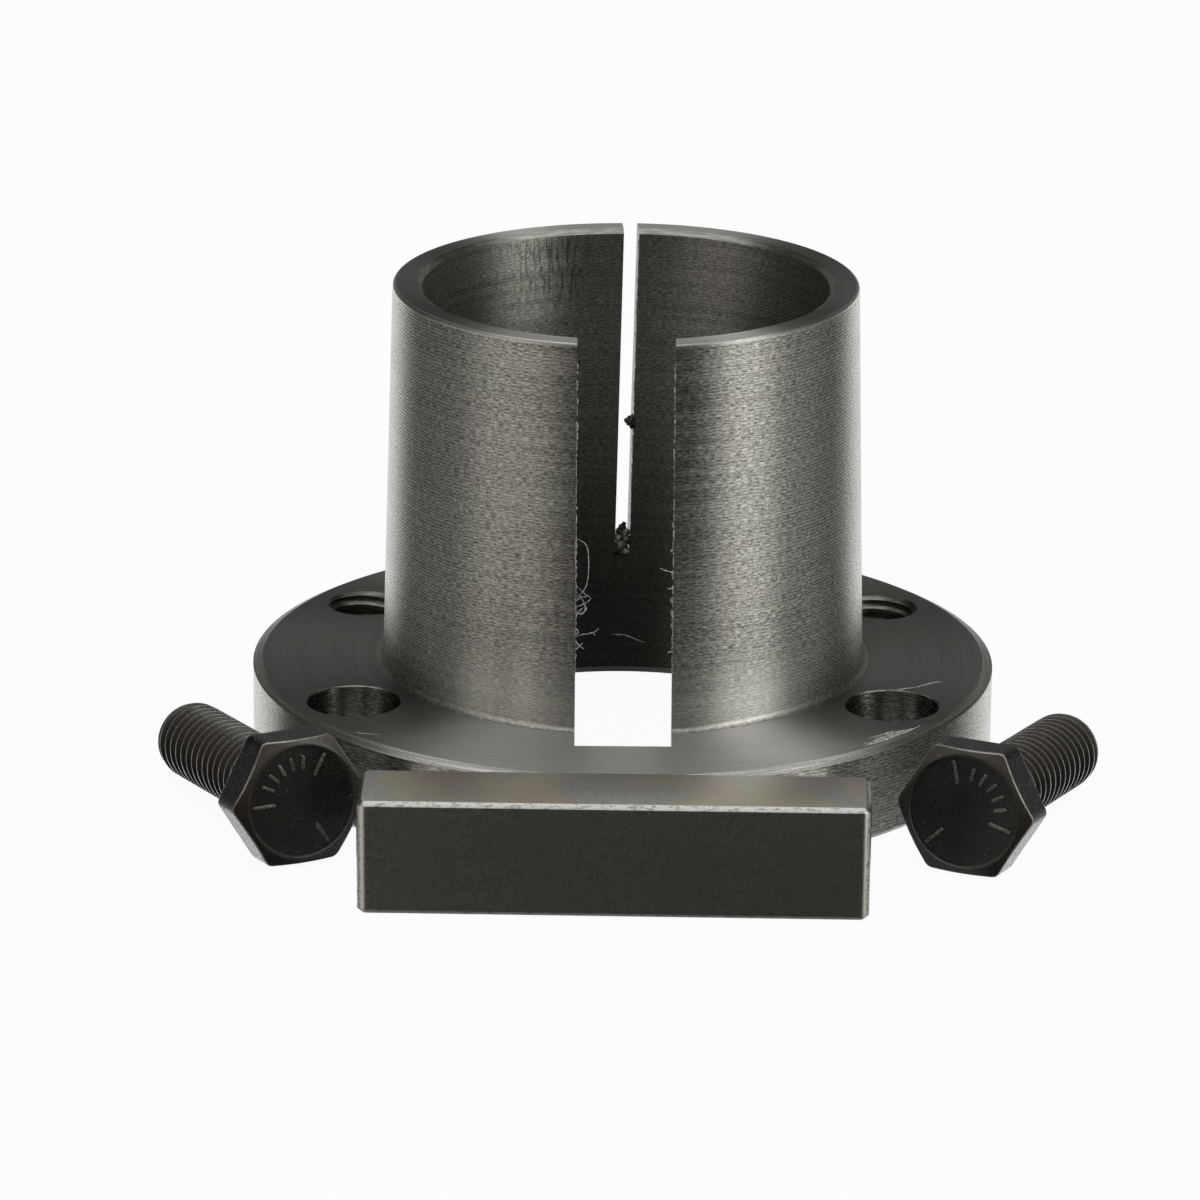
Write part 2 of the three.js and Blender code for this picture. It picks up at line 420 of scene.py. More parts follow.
def smooth_path(points):
    """A Catmull-Rom curve through some points, as closer points."""
    points = [Vector(p) for p in points]
    smooth = []
    for i in range(len(points) - 1):
        a, b = points[max(i - 1, 0)], points[i]
        c, d = points[i + 1], points[min(i + 2, len(points) - 1)]
        for step in range(WIRE_STEPS):
            t = step / WIRE_STEPS
            smooth.append(0.5 * (2 * b + (c - a) * t + (2 * a - 5 * b + 4 * c - d) * t ** 2
                                 + (3 * b - a - 3 * c + d) * t ** 3))
    smooth.append(points[-1])
    return smooth


def add_wire(bm, points, radius):
    """A thin closed wire through some points, with pointed ends."""
    smooth = smooth_path(points)
    rows = [[smooth[0]]]
    for i in range(1, len(smooth) - 1):
        along = (smooth[i + 1] - smooth[i - 1]).normalized()
        side = along.cross(Vector((0.3, 1, 0.2))).normalized()
        other = along.cross(side)
        taper = radius * min(1, 3 * min(i, len(smooth) - 1 - i) / len(smooth) + 0.35)
        row = []
        for k in range(WIRE_SIDES):
            a = TAU * k / WIRE_SIDES
            row.append(smooth[i] + (side * math.cos(a) + other * math.sin(a)) * taper)
        rows.append(row)
    rows.append([smooth[-1]])
    add_grid(bm, rows)


def add_lump(bm, centre, radius, seed):
    """A rough closed lump."""
    made = bmesh.ops.create_icosphere(bm, subdivisions=3, radius=1)
    for vert in made["verts"]:
        rough = noise.fractal(vert.co * 1.6 + Vector((seed, 0, 0)), 0.8, 2.0, 4)
        vert.co = Vector(centre) + vert.co * radius * (1 + 0.45 * rough)


# Hairs at the keyway's outer edges, curled but for the first one on the left: (distance in from the
# edge, height) of their points
LEFT_HAIRS = (
    ((0.0, 31.2), (0.03, 29.6), (-0.03, 27.8), (0.02, 26.0), (0.0, 24.6)),
    ((-0.05, 29.5), (0.5, 29.3), (1.0, 28.9), (1.25, 28.0), (1.25, 25.8), (0.95, 24.4), (0.1, 23.3)),
    ((0.0, 24.7), (0.9, 23.9), (1.5, 23.4), (0.6, 22.7), (0.0, 22.4)),
    ((0.0, 24.1), (0.7, 23.2), (1.1, 22.2), (0.5, 21.9), (0.0, 22.2)),
    ((0.0, 23.0), (0.6, 23.5), (1.2, 23.6)),
    ((0.0, 22.0), (0.6, 21.7), (1.0, 22.3), (0.7, 22.9)),
    ((0.0, 21.2), (0.3, 21.9), (0.8, 22.5)),
    ((0.0, 19.3), (0.6, 19.6), (1.3, 19.75), (1.9, 19.95), (2.35, 20.4)),
    ((1.4, 19.8), (1.7, 19.9), (2.0, 19.5)),
    ((0.0, 20.3), (0.3, 19.9), (0.1, 19.5)),
    ((0.0, 19.0), (0.4, 18.5), (0.95, 18.1)),
    ((0.1, 18.0), (0.4, 18.4), (0.8, 18.8)),
)
RIGHT_HAIRS = (
    ((0.0, 26.0), (0.3, 26.15), (0.8, 26.3), (1.4, 26.6)),
    ((0.0, 24.6), (0.3, 24.4), (0.6, 24.5)),
    ((0.0, 23.5), (0.25, 23.3), (0.1, 22.9)),
    ((0.0, 22.2), (0.25, 22.0), (0.05, 21.5), (0.2, 21.0)),
    ((0.0, 20.9), (0.2, 20.6), (0.0, 20.3)),
    ((0.0, 17.8), (0.3, 17.9), (0.5, 17.75)),
)

# Thin raised scratches on the flange's top face, beside the right hole and by the left rim: (x, y)
HOLE_SCRATCHES = (
    ((26.6, -10.9), (27.4, -11.0), (28.6, -10.9)),
    ((27.6, -10.7), (29.4, -10.2), (31.0, -9.1), (32.3, -7.9)),
    ((30.2, -9.5), (31.6, -8.6), (32.6, -8.2)),
)
RIM_SCRATCH = ((-26.7, -25.0), (-25.5, -25.5), (-24.0, -25.7))

# A sliver of swarf low on the back of the bore: (degrees to the right of the slit, height)
BORE_SLIVER = ((-3.5, 4.6), (0.5, 4.55), (4.0, 4.1), (7.0, 3.7))

# A scuff by the flange's rim: the middle, turn, spread and number of its strokes, how far from the
# axis they go, and the rubbed patch under them, whose grain runs along a direction in X and Y
SCUFF_MIDDLE = (26.5, -25.6)
SCUFF_TURN = math.radians(40)
SCUFF_SPREAD = (1.9, 0.6)
SCUFF_STROKES = 64
SCUFF_REACH = 36.8
SCUFF_PATCH_MIDDLE = (28.0, -25.4)
SCUFF_PATCH_SIZE = (4.0, 2.8)
SCUFF_PATCH_GRAIN = (0.82, 0.57)

# The middle line of a scratch lies this far above the flange's top face
SCRATCH_LIFT = 0.01
SCRATCH_RADIUS = 0.035
SLIVER_RADIUS = 0.055

# Dark chips on top of the crushed ones, and a nub caught on the slit's right wall: (x, height, size)
TOP_CHIPS = (
    (-0.3, 16.0, 0.42), (0.25, 15.9, 0.38), (-0.1, 16.45, 0.4), (0.1, 16.85, 0.22), (-0.5, 15.5, 0.3),
)
NUB_CHIPS = ((0.75, 28.6, 0.4), (0.7, 28.2, 0.45), (0.3, 28.4, 0.3), (0.85, 27.8, 0.3))

# A speck on the keyway's right outer edge: its height and size
SPECK = (28.3, 0.13)


def edge_depth(height):
    """Y of the keyway's outer edges at a height."""
    return -math.sqrt(sleeve_radius(height) ** 2 - (KEYWAY_WIDTH / 2) ** 2)


def edge_point(side, inward, height, out=0.0):
    """A point by the keyway's outer edge on its left (side -1) or right (side 1)."""
    return (side * (KEYWAY_WIDTH / 2 - inward), edge_depth(height) - out, height)


def add_edge_burrs(bm, rng, side):
    """Ragged burrs, one after another, up an outer edge of the keyway."""
    height = FLANGE_TOP + 6
    while height < LENGTH - 2:
        length = rng.uniform(0.25, 1.3)
        size = rng.uniform(0.03, 0.075)
        lean = rng.uniform(0.0, 0.12)
        rise = rng.uniform(-0.02, 0.05)
        low = edge_point(side, 0.0, height)
        middle = edge_point(side, lean, height + length / 2, rise)
        high = edge_point(side, 0.01, height + length)
        add_wire(bm, [low, middle, high], size)
        height += length * rng.uniform(0.7, 1.6)


def add_hairs(bm, rng, side, hairs):
    """Hairs at an outer edge of the keyway that bow out of it."""
    for hair in hairs:
        bow = rng.uniform(0.1, 0.3)
        points = [edge_point(side, inward, height, bow * inward) for inward, height in hair]
        add_wire(bm, points, rng.uniform(0.04, 0.055))


def add_scratches(bm):
    """The scratches on the flange's top face and the sliver low in the bore."""
    for scratch in (*HOLE_SCRATCHES, RIM_SCRATCH):
        add_wire(bm, [(x, y, FLANGE_TOP + SCRATCH_LIFT) for x, y in scratch], SCRATCH_RADIUS)
    sliver = []
    for turn, height in BORE_SLIVER:
        a = math.radians(turn)
        sliver.append((BORE_RADIUS * math.sin(a), BORE_RADIUS * math.cos(a), height))
    add_wire(bm, sliver, SLIVER_RADIUS)


def add_scuff(bm, rng):
    """Short raised scratches side by side."""
    turn = Matrix.Rotation(SCUFF_TURN, 2)
    for _ in range(SCUFF_STROKES):
        along, across = [rng.gauss(0, spread) for spread in SCUFF_SPREAD]
        half = rng.uniform(0.4, 1.5)
        points = []
        for end in (-half, 0, half):
            offset = Vector((along + end, across + rng.uniform(-0.08, 0.08)))
            point = Vector(SCUFF_MIDDLE) + turn @ offset
            point *= min(1, SCUFF_REACH / point.length)
            points.append((*point, FLANGE_TOP + SCRATCH_LIFT))
        add_wire(bm, points, rng.uniform(0.03, 0.06))


def slit_middle(height):
    """X of the slit's middle at the bore."""
    return (height - SLIT_TRUE_HEIGHT) * math.tan(SLIT_LEAN)


def add_slit_burrs(bm, rng):
    """A wavy burr up the slit's right edge, on the bore's side."""
    height = SLIT_BOTTOM + 3
    while height < LENGTH - 2:
        length = rng.uniform(0.5, 1.8)
        points = []
        for step, lean in ((0, 0.0), (0.5, rng.uniform(0.0, 0.1)), (1, 0.0)):
            z = height + step * length
            points.append((slit_middle(z) + SLIT_WIDTH / 2 - lean, BORE_RADIUS - 0.03, z))
        add_wire(bm, points, rng.uniform(0.03, 0.06))
        height += length * rng.uniform(0.7, 1.3)


def make_burrs(material):
    """All burrs, hairs and scratches of the bushing: its keyway's, its slit's and its faces'."""
    rng = random.Random(7)
    bm = bmesh.new()
    for side, hairs in ((-1, LEFT_HAIRS), (1, RIGHT_HAIRS)):
        add_edge_burrs(bm, rng, side)
        add_hairs(bm, rng, side, hairs)
    add_scratches(bm)
    add_scuff(bm, rng)
    add_slit_burrs(bm, rng)
    height, size = SPECK
    add_lump(bm, edge_point(1, 0.2, height), size, 3.0)
    burrs = new_object("keyway_burrs", bm)
    burrs.data.shade_smooth()
    burrs.data.materials.append(material)
    place(burrs, "bushing")


def make_chips(name, lumps, material):
    """Lumps of swarf stuck to the bushing, from the (x, y, height, size) of each."""
    bm = bmesh.new()
    for x, y, height, size in lumps:
        add_lump(bm, (x, y, height), size, 3.1 * height + x)
    chips = new_object(name, bm)
    chips.data.shade_smooth()
    chips.data.materials.append(material)
    place(chips, "bushing")


def crushed_swarf():
    """Pale crushed chips that fill the bottom of the slit."""
    rng = random.Random(11)
    lumps = []
    for i in range(30):
        height = SLIT_BOTTOM + 0.1 + 0.085 * i
        x = slit_middle(height) + rng.uniform(-0.62, 0.62)
        lumps.append((x, BORE_RADIUS + rng.uniform(0.3, 2.0), height, rng.uniform(0.26, 0.42)))
    return lumps


def caught_swarf():
    """Dark chips on top of the crushed ones, and a nub caught on the slit's right wall."""
    lumps = []
    for chips, depth in ((TOP_CHIPS, 0.5), (NUB_CHIPS, 0.1)):
        for x, height, size in chips:
            lumps.append((x, BORE_RADIUS + depth, height, size))
    return lumps


# Cap screws

def body_axes(node):
    """The points, centroid and principal axes, the longest first, of a CAD node's surface."""
    mesh = frame["nodes"][node].data
    mesh.calc_loop_triangles()
    points = np.array([v.co for v in mesh.vertices])
    corners = points[np.array([t.vertices for t in mesh.loop_triangles])]
    sides = corners[:, 1:] - corners[:, :1]
    areas = np.linalg.norm(np.cross(sides[:, 0], sides[:, 1]), axis=1)
    centroid = np.average(corners.mean(axis=1), axis=0, weights=areas)
    near = corners - centroid
    middles = near.mean(axis=1)
    # Each triangle's second moment is this sum over its corners and its middle, divided by 12
    spread = np.einsum("t,tki,tkj->ij", areas, near, near)
    spread += 9 * np.einsum("t,ti,tj->ij", areas, middles, middles)
    return points, centroid, np.linalg.eigh(spread)[1][:, ::-1].T


def screw_place(node):
    """A matrix whose Z runs from the middle of the head's top to the tip and X to a head corner.

    Also the head's corner radius and the screw's whole length.
    """
    points, centroid, axes = body_axes(node)
    axis = axes[0]
    along = (points - centroid) @ axis
    across = np.linalg.norm(points - centroid - np.outer(along, axis), axis=1)
    if along[across.argmax()] > 0:
        axis, along = -axis, -along
    corners = points[across > 0.998 * across.max()] - centroid
    corner = max(corners, key=lambda p: p @ (0.3, -0.1, 1.0))
    x = Vector(corner - (corner @ axis) * axis).normalized()
    z = Vector(axis).normalized()
    matrix = Matrix((x, z.cross(x), z)).transposed().to_4x4()
    matrix.translation = Vector(centroid + axis * along.min())
    return matrix, across.max() / MM, (along.max() - along.min()) / MM


def face_radius(corner_radius):
    """The radius of the circle where the head's chamfer begins."""
    return HEAD_FACE_SHARE * corner_radius * math.cos(math.radians(30))


def hexagon_radius(angle, corner_radius):
    """Distance from the axis to a hexagon whose corners, the first at angle 0, are turned down."""
    half_side = math.radians(30)
    away = (angle + half_side) % (2 * half_side) - half_side
    flat = corner_radius * math.cos(half_side) / math.cos(half_side - abs(away))
    return min(flat, HEAD_CORNER_SHARE * corner_radius)


def circle_row(angles, radius, height):
    """A round row of points at a height."""
    return [(radius * math.cos(a), radius * math.sin(a), height) for a in angles]


def face_rows(angles, face):
    """Rows of the head's face: a shallow recess inside a rounded lip."""
    rows = [[(0, 0, HEAD_FACE_DEPTH)]]
    for share in (0.25, 0.5, 0.75, 0.9):
        rows.append(circle_row(angles, share * face, HEAD_FACE_DEPTH))
    rows.append(circle_row(angles, face - HEAD_LIP_WIDTH, HEAD_FACE_DEPTH))
    rows.append(circle_row(angles, face - 0.8 * HEAD_LIP_WIDTH, 0.85 * HEAD_FACE_DEPTH))
    lip = arc((face - HEAD_LIP_ROUND, HEAD_LIP_ROUND), HEAD_LIP_ROUND, 180, 270, 4)
    return rows + [circle_row(angles, radius, height) for radius, height in lip[1:]]


def hexagon_row(angles, corner_radius, share, inset, height):
    """A row at a share of the way from the face's circle to the hexagon, less an inset.

    The height is measured from the sloping chamfer, or in the head's lower half from its top.
    """
    face = face_radius(corner_radius)
    row = []
    for a in angles:
        radius = face + share * (hexagon_radius(a, corner_radius) - face) - inset
        slope = (radius - face) * HEAD_CHAMFER_SLOPE if height < HEX_HEIGHT / 2 else 0
        row.append((radius * math.cos(a), radius * math.sin(a), slope + height))
    return row


def head_rows(corner_radius, angles):
    """Rows from the middle of the head's top, over the hexagon, to the washer face's rim."""
    face = face_radius(corner_radius)
    rows = face_rows(angles, face)
    for share in (0.03, 0.3, 0.6):
        rows.append(hexagon_row(angles, corner_radius, share, 0, 0))
    steps = [(inset * HEAD_EDGE_ROUND, drop * HEAD_EDGE_ROUND)
             for inset, drop in ((1.7, 0), (1, 0), (0.3, 0.3), (0, 1), (0, 1.7))]
    for inset, drop in steps:
        rows.append(hexagon_row(angles, corner_radius, 1, inset, drop))
    for inset, drop in reversed(steps):
        rows.append(hexagon_row(angles, corner_radius, 1, inset, HEX_HEIGHT - drop))
    rows.append(circle_row(angles, face, HEX_HEIGHT))
    rows.append(circle_row(angles, face - 0.05, HEAD_HEIGHT))
    return rows


def wear_at(point, corner_radius):
    """How far the black is rubbed off at a point of a screw: most on thread crests and head edges."""
    radius = math.hypot(point.x, point.y)
    if point.z > HEAD_HEIGHT:
        return EDGE_WEAR if radius > THREAD_RADIUS - 0.01 else THREAD_WEAR
    face = face_radius(corner_radius)
    if radius < face - 0.35:
        # Inside the lip only the tops of the raised marks are rubbed
        return MARK_WEAR if point.z < HEAD_FACE_DEPTH - 0.08 else 0.0
    if radius < face:
        return LIP_WEAR
    inset = hexagon_radius(math.atan2(point.y, point.x), corner_radius) - radius
    drop = point.z - (radius - face) * HEAD_CHAMFER_SLOPE
    near = 1.1 * HEAD_EDGE_ROUND
    if inset < near and (drop < near or HEX_HEIGHT - point.z < near):
        return EDGE_WEAR
    return CHAMFER_WEAR if drop < near else 0.0


def mark_wear(mesh, corner_radius):
    """Stores the wear of each point for the black oxide to read."""
    wear = mesh.attributes.new("wear", "FLOAT", "POINT")
    for vert, value in zip(mesh.vertices, wear.data):
        value.value = wear_at(vert.co, corner_radius)


def shank_rows(angles, length):
    """The thread from the washer face to the tip: full depth after one pitch, rounded at the end."""
    start, end = HEAD_HEIGHT + THREAD_RUN_IN, length - THREAD_RUN_OUT

    def radius_at(angle, height):
        full = thread_radius(angle, height, THREAD_RADIUS, THREAD_DEPTH)
        share = min(max((height - start) / THREAD_PITCH, 0), 1, max((end - height) / TIP_LENGTH, 0))
        radius = THREAD_RADIUS + (full - THREAD_RADIUS) * share
        t = min(max(1 - (length - height) / TIP_LENGTH, 0), 1)
        return min(radius, THREAD_RADIUS - TIP_DEPTH * (1 - math.sqrt(1 - t * t)))

    return thread_rows(angles, HEAD_HEIGHT, length, radius_at)


def raised_mark(turn, middle, half_length, half_width):
    """A rounded bar standing on the head's face, pointing away from the middle."""
    bm = bmesh.new()
    bmesh.ops.create_uvsphere(bm, u_segments=24, v_segments=12, radius=1)
    for vert in bm.verts:
        straight = half_length - half_width
        vert.co.x = vert.co.x * half_width + math.copysign(straight, vert.co.x) + middle
        vert.co.y *= half_width
        vert.co.z = vert.co.z * MARK_HEIGHT + HEAD_FACE_DEPTH
    bmesh.ops.rotate(bm, cent=(0, 0, 0), matrix=Matrix.Rotation(turn, 3, "Z"), verts=bm.verts)
    return new_object("mark", bm)


def make_screw(node, material, mark_turn):
    """A cap screw. Its plain marks, three bars and a row of pips, stand for the real ones."""
    matrix, corner_radius, length = screw_place(node)
    angles = [TAU * i / SCREW_SEGMENTS for i in range(SCREW_SEGMENTS + 1)]
    rows = head_rows(corner_radius, angles) + shank_rows(angles, length) + [[(0, 0, length)]]
    screw = new_object("threaded_" + node, helical_bmesh(rows))
    marks = [raised_mark(mark_turn + TAU * i / 3, *HEAD_BAR) for i in range(3)]
    for i in range(-2, 3):
        marks.append(raised_mark(mark_turn + math.radians(60 + PIP_STEP * i), *HEAD_PIP))
    combine(screw, marks, "UNION", [material])
    mark_wear(screw.data, corner_radius)
    smooth_by_angle(screw.data, 32)
    place(screw, node, matrix)
    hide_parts(node)


# Key

def key_place():
    """A matrix whose X runs along the key, and the key's size."""
    points, centroid, axes = body_axes("key")
    x = Vector(axes[0])
    if x.x < 0:
        x = -x
    z = Vector((0, 0, 1))
    matrix = Matrix((x, z.cross(x), z)).transposed().to_4x4()
    local = (points - centroid) @ np.array(matrix.to_3x3())
    matrix.translation = Vector(centroid)
    return matrix, (local.max(axis=0) - local.min(axis=0)) / MM


def bevel(bm, edges, offset, segments):
    """Breaks some edges: flat with one segment, round with more."""
    bmesh.ops.bevel(bm, geom=edges, offset=offset, segments=segments, affect="EDGES", profile=0.5)


def sharp_edges(bm, angle):
    """The edges whose faces turn by more than an angle in radians."""
    return [e for e in bm.edges if e.calc_face_angle() > angle]


def make_key(material):
    """A bar with rounded ends, whose long and end edges are broken by flat chamfers."""
    matrix, size = key_place()
    bm = bmesh.new()
    bmesh.ops.create_cube(bm, size=1)
    bmesh.ops.scale(bm, vec=size, verts=bm.verts)
    upright = [e for e in bm.edges if abs(e.verts[0].co.z - e.verts[1].co.z) > 1]
    bevel(bm, upright, KEY_END_ROUND, 8)
    bevel(bm, sharp_edges(bm, 1), KEY_EDGE_CHAMFER, 1)
    bevel(bm, sharp_edges(bm, 0.5), KEY_CORNER_ROUND, 2)
    key = new_object("drive_key", bm)
    smooth_by_angle(key.data, 30)
    key.data.materials.append(material)
    place(key, "key", matrix)
    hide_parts("key")


# Node helpers

class Graph:
    """Short calls for building a node tree."""

    def __init__(self, tree):
        self.tree = tree
        tree.nodes.clear()

    def node(self, kind, inputs=None, **settings):
        made = self.tree.nodes.new(kind)
        for name, value in settings.items():
            setattr(made, name, value)
        for name, value in (inputs or {}).items():
            self.feed(made.inputs[name], value)
        return made

    def feed(self, socket, value):
        if isinstance(value, bpy.types.NodeSocket):
            self.tree.links.new(value, socket)
        elif socket.type == "RGBA" and len(value) == 3:
            socket.default_value = (*value, 1)
        else:
            socket.default_value = value

    def math(self, operation, *values):
        return self.node("ShaderNodeMath", dict(enumerate(values)), operation=operation).outputs[0]

    def add(self, a, b):
        return self.math("ADD", a, b)

    def times(self, a, b):
        return self.math("MULTIPLY", a, b)

    def vector(self, x, y, z):
        return self.node("ShaderNodeCombineXYZ", {"X": x, "Y": y, "Z": z}).outputs[0]

    def scaled(self, values, scales):
        """A vector of three values, each times its own scale."""
        return self.vector(*[self.times(value, scale) for value, scale in zip(values, scales)])

    def separate(self, vector):
        return self.node("ShaderNodeSeparateXYZ", {0: vector}).outputs

    def vector_math(self, operation, *values):
        return self.node("ShaderNodeVectorMath", dict(enumerate(values)), operation=operation).outputs[0]

    def normal(self):
        return self.node("ShaderNodeNewGeometry").outputs["Normal"]

    def noise(self, where, scale, detail=2.0, rough=0.5):
        inputs = {"Vector": where, "Scale": scale, "Detail": detail, "Roughness": rough}
        return self.node("ShaderNodeTexNoise", inputs).outputs["Fac"]

    def ramp(self, value, low, high, to_low=0.0, to_high=1.0):
        """A smooth step from to_low, where the value is low, to to_high, where it is high."""
        inputs = {"Value": value, "From Min": low, "From Max": high, "To Min": to_low, "To Max": to_high}
        return self.node("ShaderNodeMapRange", inputs, interpolation_type="SMOOTHSTEP").outputs[0]

    def mix(self, share, a, b, blend_type="MIX"):
        node = self.node("ShaderNodeMix", data_type="RGBA", blend_type=blend_type)
        self.feed(node.inputs["Factor"], share)
        colours = [socket for socket in node.inputs if socket.type == "RGBA"]
        self.feed(colours[0], a)
        self.feed(colours[1], b)
        return [socket for socket in node.outputs if socket.type == "RGBA"][0]

    def finish(self, shader):
        self.node("ShaderNodeOutputMaterial", {"Surface": shader.outputs[0]})

    def finish_metal(self, base, rough, height, relief, more=None):
        """Ends a material as metal, with a height map whose relief is given in millimetres."""
        bump = self.node("ShaderNodeBump", {"Strength": 1.0, "Distance": relief * MM, "Height": height})
        inputs = {"Base Color": base, "Metallic": 1.0, "Roughness": rough, "Normal": bump.outputs[0]}
        self.finish(self.node("ShaderNodeBsdfPrincipled", {**inputs, **(more or {})}))


def new_material(name):
    """A material and the graph to build its nodes with."""
    material = bpy.data.materials.new(name)
    material.use_nodes = True
    return material, Graph(material.node_tree)


def millimetres(g):
    """Object coordinates in millimetres, as a vector and as separate sockets."""
    where = g.node("ShaderNodeTexCoord").outputs["Object"]
    scaled = g.node("ShaderNodeVectorMath", {0: where, "Scale": 1 / MM}, operation="SCALE").outputs[0]
    return scaled, *g.separate(scaled)


def shades(colour, contrast):
    """A darker and a lighter shade of a colour."""
    return [tuple(min(c * k, 1) for c in colour) for k in (1 - contrast, 1 + contrast)]


# Pitch of the lathe's rings, and the tints of the turned metal's patches
RING_PITCH = 0.35
PATCH_TINTS = ((1.06, 0.97, 0.95), (0.98, 1.02, 0.92))


def brushing(anisotropic, tangent):
    """Shader inputs for a metal that is brushed along a tangent."""
    return {"Anisotropic": anisotropic, "Anisotropic Rotation": 0.25, "Tangent": tangent}


def lathe_tangent(g, x, y):
    """The direction round the Z axis, on round surfaces and, by a little outward lean, on flat ones."""
    outward = g.scaled((x, y, 0.0), (0.002, 0.002, 1.0))
    facing = g.vector_math("ADD", g.normal(), outward)
    return g.vector_math("NORMALIZE", g.vector_math("CROSS_PRODUCT", (0, 0, 1), facing))


def tinted(g, where, base, colour):
    """Adds faint warm and green patches."""
    warm, green = [tuple(c * k for c, k in zip(colour, tint)) for tint in PATCH_TINTS]
    patches = g.ramp(g.noise(where, 0.12, 2.0), 0.4, 0.6)
    return g.mix(0.25, base, g.mix(patches, warm, green))


def lathe_patterns(g, around, across, streak):
    """Streaks, fine rings that wander a little, and broad bands, all round the Z axis."""
    streaks = g.noise(g.scaled((around, across, 0.0), (1 / streak[0], 1 / streak[1], 1.0)), 1.0, 2.0, 0.6)
    wander = g.noise(g.scaled((around, across, 0.0), (0.2, 0.2, 1.0)), 1.0)
    rings = g.math("SINE", g.add(g.times(across, TAU / RING_PITCH), g.times(wander, 4.0)))
    bands = g.noise(g.scaled((around, across, 3.0), (0.04, 1.6, 1.0)), 1.0, 2.0)
    return streaks, rings, bands


def lathe_metal(name, colour, roughness, contrast, streak, relief,
                anisotropic=0.85, extra=None, ringed=1.0):
    """Metal cut on a lathe: streaks round the Z axis, on round and on faced surfaces alike.

    streak is how far a streak runs round and across, in millimetres, relief its height and ringed
    how strongly the tool's rings show. extra may change the colour, given the graph, the colour and
    the coordinates.
    """
    material, g = new_material(name)
    where, x, y, z = millimetres(g)
    radius = g.math("SQRT", g.add(g.times(x, x), g.times(y, y)))
    turn = g.math("ARCTAN2", x, y)
    across = g.math("SUBTRACT", z, radius)
    streaks, rings, bands = lathe_patterns(g, g.times(turn, BORE_RADIUS), across, streak)
    grain = g.noise(where, 3.6, 2.0, 0.6)

    grazing = g.node("ShaderNodeLayerWeight", {"Blend": 0.5}).outputs["Facing"]
    ring_share = g.ramp(grazing, 0.1, 0.9, 0.1 * ringed, 0.5 * ringed)
    tone = g.add(g.ramp(streaks, 0.38, 0.68), g.times(rings, ring_share))
    tone = g.add(tone, g.ramp(bands, 0.3, 0.7, -0.12, 0.12))
    tone = g.add(tone, g.ramp(grain, 0.3, 0.7, -0.18, 0.18))
    base = tinted(g, where, g.mix(tone, *shades(colour, contrast)), colour)
    if extra:
        base = extra(g, base, x, y, z, turn)
    rough = g.add(g.ramp(bands, 0.3, 0.7, roughness - 0.03, roughness + 0.03),
                  g.ramp(grain, 0.3, 0.7, -0.03, 0.03))
    height = g.add(g.times(streaks, 0.6), g.add(g.times(grain, 0.5), g.times(rings, 0.05)))
    g.finish_metal(base, rough, height, relief, brushing(anisotropic, lathe_tangent(g, x, y)))
    return material


def cut_metal(name, colour, contrast, roughness, streak, relief, anisotropic):
    """Metal cut by a drill, tap or saw. streak is a streak's length along X, Y and Z."""
    material, g = new_material(name)
    where, x, y, z = millimetres(g)
    lines = g.noise(g.scaled((x, y, z), [1 / length for length in streak]), 1.0, 3.0, 0.6)
    grain = g.noise(where, 4.0, 2.0)
    base = g.mix(g.ramp(lines, 0.35, 0.65), *shades(colour, contrast))
    rough = g.ramp(grain, 0.3, 0.7, roughness - 0.05, roughness + 0.06)
    height = g.add(lines, g.times(grain, 0.3))
    tangent = g.vector_math("CROSS_PRODUCT", (0, 0, 1), g.normal())
    g.finish_metal(base, rough, height, relief, brushing(anisotropic, tangent))
    return material


def chip_metal(name, colour, roughness, relief, metallic=1.0):
    """Torn metal: rough, with bright and dark flecks."""
    material, g = new_material(name)
    flecks = g.noise(millimetres(g)[0], 3.0, 3.0, 0.7)
    base = g.mix(g.ramp(flecks, 0.4, 0.65), *shades(colour, 0.6))
    g.finish_metal(base, roughness, flecks, relief, {"Metallic": metallic})
    return material


def black_oxide_metal():
    """Oiled black oxide: nearly black, glossy, with worn edges that show a little bare steel, and rubbed
    places painted lighter where they face up.
    """
    material, g = new_material("black_oxide")
    where = millimetres(g)[0]
    grain = g.noise(where, 3.4, 3.0, 0.6)
    spots = g.noise(where, 0.5, 3.0)
    specks = g.noise(where, 5.0, 1.0)
    wear = g.node("ShaderNodeAttribute", attribute_name="wear").outputs["Fac"]
    rubbed = g.ramp(g.add(wear, g.times(grain, 0.7)), 0.9, 1.35)
    edges = g.times(rubbed, g.ramp(spots, 0.35, 0.6, 0.35, 0.9))
    worn = g.math("MAXIMUM", edges, g.ramp(specks, 0.7, 0.76, 0.0, 0.4))
    base = g.mix(g.ramp(spots, 0.35, 0.65), (0.010, 0.009, 0.009), (0.020, 0.016, 0.013))
    # Rubbed places turn to a grey film; a painted highlight makes the film lighter on faces that look up,
    # as if lit from above
    painted_top_light = g.ramp(g.separate(g.normal())[2], 0.0, 0.6)
    wear_film_and_top_light = g.mix(painted_top_light, (0.060, 0.052, 0.046), (0.160, 0.145, 0.130))
    base = g.mix(g.ramp(wear, 0.0, 0.3, 0.0, 0.55), base, wear_film_and_top_light)
    base = g.mix(worn, base, (0.45, 0.44, 0.41))
    rough = g.ramp(grain, 0.3, 0.7, 0.2, 0.36)
    more = {"Metallic": g.times(worn, 0.8), "Specular IOR Level": 0.42}
    g.finish_metal(base, rough, grain, 0.02, more)
    return material


